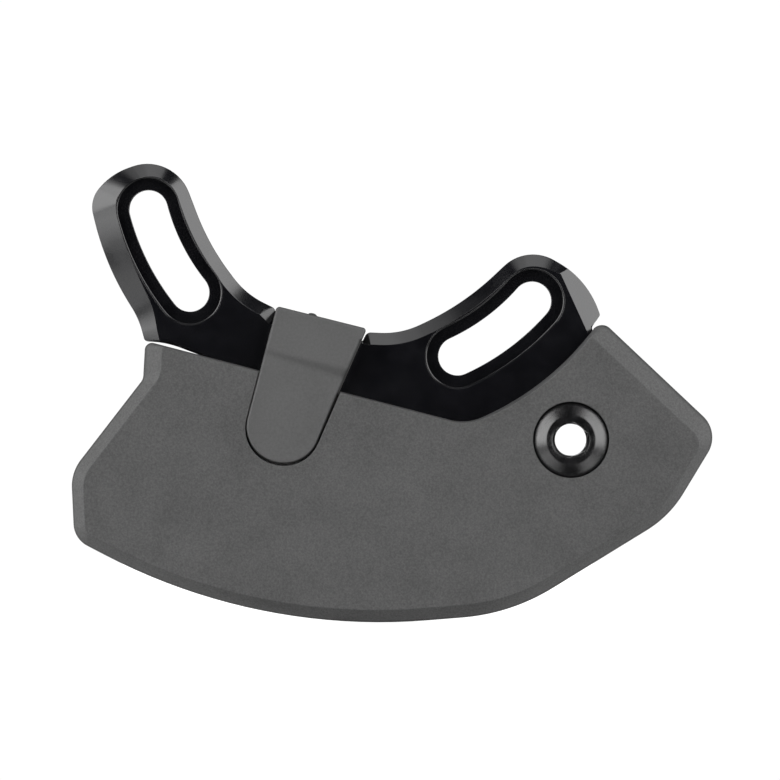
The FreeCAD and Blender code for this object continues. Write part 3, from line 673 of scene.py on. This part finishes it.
class StageSettings(bpy.types.PropertyGroup):
    """Floor, lights and camera."""
    frame_width: length("Frame width", "Width that the picture shows", 0.12745)
    distance: length("Distance", "From the camera to the plate's front", 1.5)
    left_light: amount("Left light", "Radiance of the left soft box", 3.0)
    right_light: amount("Right light", "Radiance of the right soft box", 2.5)
    top_light: amount("Top light", "Radiance of the overhead strip", 1.2)
    fill_light: amount("Fill light", "Radiance of the upper fill", 0.65)
    card_light: amount("Card light", "Radiance of the low white cards", 1.1)
    back_light: amount("Back light", "Radiance of the box behind", 1.0)
    room: share("Room", "Radiance of the dark room", 0.012)
    floor_glow: share("Floor glow", "Light that the floor gives off", 0.95)


# Pieces

class BuildPlate(bpy.types.Operator):
    """Build the machined plate, with its bevels, recessed slots, clip notch and bolt lug"""
    bl_idname = "chainring_guard.plate"
    bl_label = "Machined plate"

    def execute(self, context):
        s = context.scene.guard_plate_settings
        plate = bevelled("plate_machined", PLATE_CORNERS, s, 0.0, s.thickness, s.edge_break, PLATE_STEPS,
                         BEVEL_CHANGES)
        cutters = [self.slot_cutter(s, angle) for angle in SLOT_ANGLES]
        cutters += [wedge(name, *facet, s.thickness) for name, facet in FACETS.items()]
        leg = rounded_loop(inset(CLIP_BACK_CORNERS, -LEG_SEAT_GAP))
        through = s.thickness + 2.0 * OVER
        cutters += [
            prism("clip_recess", leg, -OVER, LEG_SEAT_DEPTH),
            prism("nut_flange_seat", circle(NUT_SEAT_RADIUS), -OVER, NUT_SEAT_DEPTH),
            prism("nut_sleeve_hole", circle(NUT_HOLE_RADIUS), -OVER, through),
        ]
        finished(carved(plate, cutters), black_anodise("plate_anodise", s), "mount_plate")
        return {"FINISHED"}

    @staticmethod
    def slot_cutter(s, angle):
        """Cutter whose profile of half width and height runs from the back edge over the floor to the rim."""
        half, recess, back_break = s.slot_width / 2.0, s.recess_width / 2.0, 0.2 * MM
        floor, rim = s.thickness - s.recess_depth, s.thickness - s.recess_rim
        profile = [(half + OVER, back_break - OVER), (half, back_break), (half, floor), (recess, floor),
                   (recess, rim), (recess + OVER, rim + OVER)]
        sections = [raised(slot_loop(angle, width), height) for width, height in profile]
        reaches = [s.soft_edge, s.soft_edge, 2.0 * s.soft_edge, s.soft_edge]
        return capped("slot", softened(sections, reaches))


class BuildGuard(bpy.types.Operator):
    """Build the moulded guard, with its bevelled rim, its pockets for plate and clip, and the bolt's seat"""
    bl_idname = "chainring_guard.guard"
    bl_label = "Moulded guard"

    def execute(self, context):
        s = context.scene.guard_body_settings
        guard = bevelled("guard_moulded", GUARD_CORNERS, s, s.back, s.front, s.back_chamfer, GUARD_STEPS)
        plate = rounded_loop(inset(PLATE_CORNERS[:, :3], -s.plate_gap))
        gaps = np.array([s.clip_left_gap, s.clip_end_gap, s.clip_right_gap, s.clip_end_gap])
        head, hole = s.head_diameter / 2.0, s.hole_diameter / 2.0
        low, high = GUARD_CUT

        def clip_room(out):
            return rounded_loop(inset(CLIP_CORNERS, -gaps - out))

        def head_room(out):
            return circle(head + out)

        cutters = [
            prism("plate_pocket", plate, low, PLATE_FRONT),
            self.flared("clip_pocket", clip_room, s.clip_floor, s.front, 0.5 * s.soft_edge),
            self.flared("head_seat", head_room, s.front - s.head_depth, s.front, 0.3 * s.soft_edge),
            prism("sleeve_hole", circle(hole), low, high),
        ]
        # The guard's nylon gets a painted shade line at its lip, where the front bevel meets the wall
        finish = moulded_nylon("guard_nylon_grain", s, s.front - s.bevel_depth)
        finished(carved(guard, cutters), finish, "guard_plate")
        return {"FINISHED"}

    @staticmethod
    def flared(name, loop, floor, front, soft, steps=5):
        """Cutter from a floor to past the front, whose loop steps outwards on a quarter circle just below the
        front, so that the edge it leaves is rounded."""
        turn = np.linspace(0.0, np.pi / 2.0, steps + 1)
        curve = zip(soft * (1.0 - np.cos(turn)), front - soft + soft * np.sin(turn))
        profile = [(0.0, floor), *curve, (soft, front + OVER)]
        return capped(name, np.array([raised(loop(out), height) for out, height in profile]))


class BuildClip(bpy.types.Operator):
    """Build the moulded clip, with its ramped front leg, its bridge over the plate and its back leg"""
    bl_idname = "chainring_guard.clip"
    bl_label = "Moulded clip"

    def execute(self, context):
        s = context.scene.guard_clip_settings
        leg = self.front_leg(s)
        back, rim = CLIP_BACK_CORNERS, LEG_LOW + s.back_round
        back_leg = capped("clip_back_leg", softened([
            raised(rounded_loop(inset(back, s.back_round)), LEG_LOW),
            raised(rounded_loop(back), rim),
            raised(rounded_loop(back), LEG_LOW + s.back_leg),
        ], [LEAST_ROUND]))
        # The clip's nylon, with painted shade on its rounded rims
        finish = moulded_nylon("clip_nylon_smooth", s, painted_rim_shade=s.painted_rim_shade)
        solid = carved(leg, [self.void(s)], [back_leg, self.gate()])
        finished(solid, finish, "retaining_clip")
        return {"FINISHED"}

    @staticmethod
    def placed(across, drop, height):
        """Points of the clip's tilted frame at a height."""
        x, z = hung(across, drop)
        return np.stack(np.broadcast_arrays(x, -height, z), axis=-1)

    @staticmethod
    def ramp(across, drop, s):
        """Height of the front face: the leg's height, then a ramp of one slope that is longer to the right,
        then the tongue, as the mean of this broken line over a short stretch, which rounds its bends."""
        part = np.clip((across - CLIP_LEFT) / (CLIP_RIGHT - CLIP_LEFT), 0.0, 1.0)[..., None]
        ramp_end = s.ramp_left + (s.ramp_right - s.ramp_left) * part
        stretch = RAMP_BEND * np.linspace(-1.0, 1.0, 9)
        run = np.clip(drop[..., None] + stretch - CLIP_TOP - s.ramp_drop, 0.0, ramp_end)
        return s.leg_front - s.ramp_slope * run.mean(axis=-1)

    def front_leg(self, s):
        """Closed solid over the grid: its height is the ramp's, less a quarter circle's fall near the rim,
        and its rim runs to a flat back."""
        across, drops = self.leg_grid()
        grid = np.stack([across, drops], axis=-1)
        edge = np.concatenate([grid[:, 0], grid[::-1, -1]])
        fall = self.rim_fall(grid.reshape(-1, 2), edge, self.rim_radius(across, drops, s).ravel())
        height = self.ramp(across, drops, s) - fall.reshape(across.shape)
        points = self.placed(across, drops, height).reshape(-1, 3)
        index = np.arange(across.size).reshape(across.shape)
        cells = [index[:-1, :-1], index[1:, :-1], index[1:, 1:], index[:-1, 1:]]
        quads = np.stack(cells, axis=-1).reshape(-1, 4)
        border = np.concatenate([index[:-1, 0], index[-1, :-1], index[:0:-1, -1], index[0, :0:-1]])
        back = points[border].copy()
        back[:, 1] = -BRIDGE_LOW
        low = across.size + np.arange(len(border))
        walls = np.stack([low, np.roll(low, -1), np.roll(border, -1), border], axis=-1)
        mesh = new_mesh("clip_moulded", np.concatenate([points, back]), [quads, walls], [low[::-1]])
        return new_object(faced_outwards(mesh))

    def leg_grid(self):
        """Grid over the front view, from side to side and from the top to the round end: its places across
        and its drops."""
        middle = np.linspace(CLIP_TOP + RIM_END, CLIP_END - RIM_END, GRID_ROWS)
        drop = np.concatenate([CLIP_TOP + RIM_GRID, middle, CLIP_END - RIM_GRID[::-1]])
        left = self.side(drop, CLIP_LEFT, CLIP_END_LEFT, 1.0)
        right = self.side(drop, CLIP_RIGHT, CLIP_END_RIGHT, -1.0)
        width = right - left
        rim = np.minimum(1.0, width / NARROW)[:, None] * RIM_GRID
        inner = np.linspace(0.0, 1.0, GRID_COLUMNS)[1:-1]
        span = (width - 2.0 * rim[:, -1])[:, None]
        across = np.concatenate([left[:, None] + rim, left[:, None] + rim[:, -1:] + span * inner,
                                 right[:, None] - rim[:, ::-1]], axis=1)
        return across, np.broadcast_to(drop[:, None], across.shape)

    @staticmethod
    def rim_radius(across, drops, s):
        """Rounding of the rim: it grows from the left side to the right, except at the top, and by less
        towards the round end."""
        left, right = across[:, 0].min(), across[:, -1:]
        part = np.clip((across - left) / (right - left), 0.0, 1.0)
        part *= (drops > CLIP_TOP + ROUND_FROM) * np.clip((CLIP_END - drops) / ROUND_FADE, 0.0, 1.0)
        return s.left_round + (s.right_round - s.left_round) * part

    @staticmethod
    def side(drop, top, end, inwards):
        """Places across of a side: the line from its top to its end, moved inwards at its rounded corners.
        The end's circle touches the end and the side, which leans inwards by its share of the drop."""
        lean = inwards * (end - top) / (CLIP_END - CLIP_TOP)
        above = np.maximum(0.0, CLIP_TOP_ROUND - (drop - CLIP_TOP))
        cut = CLIP_TOP_ROUND - np.sqrt(CLIP_TOP_ROUND ** 2 - above ** 2)
        radius, turn = CLIP_END_ROUND, math.atan(lean)
        below = drop - (CLIP_END - radius)
        chord = np.sqrt(np.maximum(0.0, radius ** 2 - np.minimum(below, radius) ** 2))
        end_cut = np.maximum(0.0, radius / math.cos(turn) - chord - lean * below)
        cut += np.where(below > radius * math.sin(turn), end_cut, 0.0)
        return top + inwards * (lean * (drop - CLIP_TOP) + cut)

    @staticmethod
    def rim_fall(points, edge, radius):
        """Fall of a quarter circle from the distance to the nearest side of a closed edge."""
        start, step = edge, np.roll(edge, -1, axis=0) - edge
        offset = points[:, None, :] - start[None, :, :]
        along = (offset * step).sum(-1) / np.maximum((step ** 2).sum(-1), 1e-18)
        nearest = offset - np.clip(along, 0.0, 1.0)[..., None] * step
        distance = np.minimum(np.sqrt((nearest ** 2).sum(-1)).min(axis=1), radius)
        return radius - np.sqrt(np.maximum(0.0, radius ** 2 - (radius - distance) ** 2))

    def void(self, s):
        """Cutter for the room between the legs: a side section carried across."""
        over, low = CLIP_END + 7.0 * OVER, -2.0 * OVER
        under = CLIP_TOP + s.bridge
        section = np.array([(under, low), (over, low), (over, TONGUE_INSIDE), (TONGUE_DROP, TONGUE_INSIDE),
                            (TONGUE_DROP, LEG_INSIDE), (under, LEG_INSIDE)])
        sides = (CLIP_END_LEFT - 2.0 * OVER, CLIP_RIGHT + 2.0 * OVER)
        rings = [self.placed(side, section[:, 0], section[:, 1]) for side in sides]
        return capped("clip_void", np.array(rings))

    def gate(self):
        """Stub of the moulding gate on the top edge: a small rounded lump, half sunk in the clip."""
        middle, height, sunk = -1.8 * MM, 4.4 * MM, 0.05 * MM
        half_width, half_rise, half_depth = 0.75 * MM, 0.38 * MM, 1.0 * MM
        turn = np.linspace(0.0, np.pi, 15)[1:-1, None]
        around = np.linspace(0.0, 2.0 * np.pi, 36, endpoint=False)
        across = middle + half_width * np.sin(turn) * np.cos(around)
        drop = CLIP_TOP + sunk - half_rise * np.sin(turn) * np.sin(around)
        return capped("clip_gate", self.placed(across, drop, height - half_depth * np.cos(turn)))


class BuildBolt(bpy.types.Operator):
    """Build the hollow bolt, with its coned flange and hexagon socket, and the sleeve nut behind it"""
    bl_idname = "chainring_guard.bolt"
    bl_label = "Bolt and sleeve nut"

    def execute(self, context):
        s = context.scene.guard_bolt_settings
        finish = turned_anodise("bolt_anodise", s)
        finished(self.bolt(s), finish, "guard_bolt", TURNED_SHARP)
        finished(self.nut(s), finish, "sleeve_nut", TURNED_SHARP)
        return {"FINISHED"}

    @staticmethod
    def bolt(s):
        """Turned profile whose inner rings widen to the hexagon: half the flats over the cosine of the angle
        from the nearest flat's middle."""
        rim = HEAD_SEAT + s.rim
        crown = rim + s.cone
        head, top, bore, shank = s.head_diameter / 2.0, s.crown_diameter / 2.0, s.bore / 2.0, s.thread / 2.0
        lead, soft, break_edge, step = 3.05 * MM, 0.1 * MM, 0.3 * MM, 0.2 * MM
        hex_depth, hex_turn = 3.6 * MM, math.radians(22.0)
        angle = 2.0 * np.pi * np.arange(s.turn_steps) / s.turn_steps
        sector = math.pi / 3.0
        from_flat = np.mod(angle - hex_turn, sector) - sector / 2.0
        socket = np.maximum(bore, s.hexagon / 2.0 / np.cos(from_flat))
        outer = [(bore + step, SHANK_END), (shank - break_edge, SHANK_END), (shank, SHANK_END + break_edge),
                 (shank, HEAD_SEAT), (head - soft, HEAD_SEAT), (head, HEAD_SEAT + soft),
                 (head, rim - 1.8 * soft), (head - 0.2 * soft, rim - 1.4 * soft),
                 (head - 1.6 * soft, rim + 0.2 * soft)]
        cone = np.linspace(0.1, 0.97, 12)
        outer += [(head + (top - head) * t, rim + s.cone * t) for t in cone]
        outer += [(top - 0.5 * soft, crown), (lead + 0.4 * soft, crown)]
        radii, heights = (list(values) for values in zip(*outer))
        for fall in np.linspace(0.15, 8.0, 16) * soft:
            radii.append(np.maximum(socket, lead - 0.5 * fall))
            heights.append(crown - fall)
        radii += [socket, bore, bore]
        heights += [crown - hex_depth, crown - hex_depth - step, SHANK_END + step]
        return turned("bolt_turned", radii, heights, s.turn_steps)

    @staticmethod
    def nut(s):
        """Turned profile of flange and sleeve, with a wrench slot cut across the flange's back."""
        low, top, end = 0.2 * MM, NUT_SEAT_DEPTH, 6.2 * MM
        soft, thread_gap = 0.15 * MM, 0.05 * MM
        bore, flange, sleeve = s.thread / 2.0 + thread_gap, s.flange_diameter / 2.0, s.sleeve_diameter / 2.0
        profile = [(bore, low + soft), (bore + soft, low), (flange - soft, low), (flange, low + soft),
                   (flange, top - soft), (flange - soft, top), (sleeve, top), (sleeve, end - soft),
                   (sleeve - soft, end), (bore + soft, end), (bore, end - soft)]
        nut = turned("nut_turned", *zip(*profile), s.turn_steps)
        half_size, slot_depth = np.array([9.0, 0.8]) * MM, 0.6 * MM
        ring = BOLT_CENTRE + half_size * np.array([(-1, -1), (1, -1), (1, 1), (-1, 1)])
        slot = prism("nut_slot", ring, -OVER, low + slot_depth)
        return carved(nut, [slot])


# Stage

# Side boxes, whose light fades in strips below them: name, X, lowest and highest Z, setting, strips' shares
SIDE_BOXES = (
    ("left_box", -0.719, -0.125, 0.70, "left_light", (0.6,)),
    ("right_box", 0.719, -0.13, 0.93, "right_light", (0.8, 0.35)),
)
BOX_WIDTH, BOX_Y, BOX_TURN, STRIP = 1.41, -0.351, 0.49, 0.05

# Other lights: name, place, aim, width and height, the setting that holds the radiance, and a share of it
DOWN = (0.0, 0.001, -1.0)
SOFT_LIGHTS = (
    ("top_strip", (0.075, -0.12, 0.78), DOWN, (0.43, 0.53), "top_light", 1.0),
    ("top_left", (-0.245, -0.12, 0.78), DOWN, (0.21, 0.53), "top_light", 0.8),
    ("top_fill", (-0.41, -0.12, 0.78), DOWN, (0.12, 0.53), "fill_light", 1.0),
    ("left_card", (-0.479, -0.432, -0.425), (1.0, 0.9, 0.9), (0.70, 0.42), "card_light", 1.0),
    ("right_card", (0.467, -0.421, -0.45), (-1.0, 0.9, 0.9), (0.70, 0.30), "card_light", 1.0),
    ("low_card", (0.1, -0.16, -0.72), (-0.1, 0.15, 0.64), (0.90, 0.25), "card_light", 0.8),
    ("back_box", (0.0, 1.1, 0.35), (0.0, -1.0, -0.35), (1.2, 0.7), "back_light", 1.0),
)

# The floor ends behind the guard's front bevel, so that its glow doesn't reach the bevel from close by
FLOOR_HALF, FLOOR_FRONT, FLOOR_BACK, FLOOR_GAP = 0.4, -0.0064, 0.5, 0.05 * MM
PAPER_GREYS = ((0.40, 0.40, 0.40), (0.42, 0.42, 0.42))
PLAIN_WHITE = (1.0, 1.0, 1.0, 1.0)

# X and Z of the picture's middle
VIEW_CENTRE = (4.16 * MM, -38.77 * MM)


class SetStage(bpy.types.Operator):
    """Set the pale floor, the soft lights and the camera"""
    bl_idname = "chainring_guard.stage"
    bl_label = "Floor, lights and camera"

    def execute(self, context):
        s = context.scene.guard_stage_settings
        self.floor(s)
        self.room(context, s)
        for name, x, low, high, setting, fades in SIDE_BOXES:
            self.fading_box(name, x, low, high, getattr(s, setting), fades)
        for name, place, aim, size, setting, part in SOFT_LIGHTS:
            self.soft_box(name, place, aim, size, part * getattr(s, setting))
        self.camera(context, s)
        return {"FINISHED"}

    @staticmethod
    def floor(s):
        """Pale floor just under the guard, which glows a little."""
        level = CAD_BOX[0][2] - FLOOR_GAP
        sides = [(-FLOOR_HALF, FLOOR_FRONT), (FLOOR_HALF, FLOOR_FRONT), (FLOOR_HALF, FLOOR_BACK),
                 (-FLOOR_HALF, FLOOR_BACK)]
        points = np.column_stack([sides, np.full(4, level)])
        floor = new_object(new_mesh("floor", points, [], [np.arange(4)]))
        material, tree, shader, place = shader_of("floor_white", Roughness=0.9, Emission_Color=PLAIN_WHITE,
                                                  Emission_Strength=s.floor_glow)
        paper = noise(tree, place, scale=12.0, detail=3.0)
        feed(tree, shader.inputs["Base Color"], mixed(tree, paper, *map(shade, PAPER_GREYS)))
        floor.data.materials.append(material)

    @staticmethod
    def room(context, s):
        """Dark room for the light, and a white background for the camera."""
        world = bpy.data.worlds.new("studio")
        world.use_nodes = True
        tree = world.node_tree
        tree.nodes.clear()
        dark = node(tree, "ShaderNodeBackground", Color=shade((s.room,) * 3))
        white = node(tree, "ShaderNodeBackground", Color=PLAIN_WHITE, Strength=1.02)
        path = tree.nodes.new("ShaderNodeLightPath")
        mix = node(tree, "ShaderNodeMixShader", Fac=path.outputs["Is Camera Ray"])
        for socket, background in zip(list(mix.inputs)[1:], (dark, white)):
            feed(tree, socket, background.outputs["Background"])
        node(tree, "ShaderNodeOutputWorld", Surface=mix.outputs["Shader"])
        context.scene.world = world
        context.scene.view_settings.view_transform = "Standard"

    def fading_box(self, name, x, low, high, radiance, fades):
        """Large soft box to one side whose light fades in strips below its lower edge."""
        aim, middle = (-math.copysign(1.0, x), BOX_TURN, 0.0), (low + high) / 2.0
        self.soft_box(name, (x, BOX_Y, middle), aim, (BOX_WIDTH, high - low), radiance)
        for k, part in enumerate(fades):
            place = (x, BOX_Y, low - (k + 0.5) * STRIP)
            self.soft_box(f"{name}_fade", place, aim, (BOX_WIDTH, STRIP), part * radiance)

    @staticmethod
    def soft_box(name, place, aim, size, radiance):
        """Rectangular light; its power is pi times its area times its radiance."""
        light = bpy.data.lights.new(name, "AREA")
        light.shape = "RECTANGLE"
        light.size, light.size_y = size
        light.energy = math.pi * size[0] * size[1] * radiance
        box = bpy.data.objects.new(name, light)
        bpy.context.scene.collection.objects.link(box)
        box.location = place
        box.rotation_euler = Vector(aim).to_track_quat("-Z", "Y").to_euler()
        box.visible_camera = False

    @staticmethod
    def camera(context, s):
        """Camera square to the front, whose lens shows the frame's width at the plate's front."""
        camera = bpy.data.cameras.new("camera")
        camera.sensor_width = 36.0
        camera.lens = camera.sensor_width * s.distance / s.frame_width
        camera.clip_end = 50.0
        view = bpy.data.objects.new("camera", camera)
        context.scene.collection.objects.link(view)
        view.location = (VIEW_CENTRE[0], -PLATE_FRONT - s.distance, VIEW_CENTRE[1])
        view.rotation_euler = (math.pi / 2.0, 0.0, 0.0)
        context.scene.camera = view


class GuardPanel(bpy.types.Panel):
    """Sizes, colours and build steps of the chainring guard"""
    bl_idname = "VIEW3D_PT_chainring_guard"
    bl_label = "Chainring guard"
    bl_space_type = "VIEW_3D"
    bl_region_type = "UI"
    bl_category = "Guard"

    def draw(self, context):
        for step in STEPS:
            self.layout.operator(step.bl_idname)
        for attribute, group in GROUPS.items():
            box = self.layout.box()
            box.label(text=group.__doc__)
            settings = getattr(context.scene, attribute)
            for name in group.__annotations__:
                box.prop(settings, name)


GROUPS = {
    "guard_plate_settings": PlateSettings,
    "guard_body_settings": GuardSettings,
    "guard_clip_settings": ClipSettings,
    "guard_bolt_settings": BoltSettings,
    "guard_stage_settings": StageSettings,
}
STEPS = (BuildPlate, BuildGuard, BuildClip, BuildBolt, SetStage)
CLASSES = (*GROUPS.values(), *STEPS, GuardPanel)


def register():
    """Registers the classes and gives the scene its settings."""
    for item in CLASSES:
        bpy.utils.register_class(item)
    for attribute, group in GROUPS.items():
        setattr(bpy.types.Scene, attribute, PointerProperty(type=group))


def unregister():
    """Takes the settings and the classes away again."""
    for attribute in GROUPS:
        delattr(bpy.types.Scene, attribute)
    for item in reversed(CLASSES):
        bpy.utils.unregister_class(item)


def main():
    """Builds every piece and the stage."""
    register()
    bpy.ops.chainring_guard.plate()
    bpy.ops.chainring_guard.guard()
    bpy.ops.chainring_guard.clip()
    bpy.ops.chainring_guard.bolt()
    bpy.ops.chainring_guard.stage()


if __name__ == "__main__":
    main()
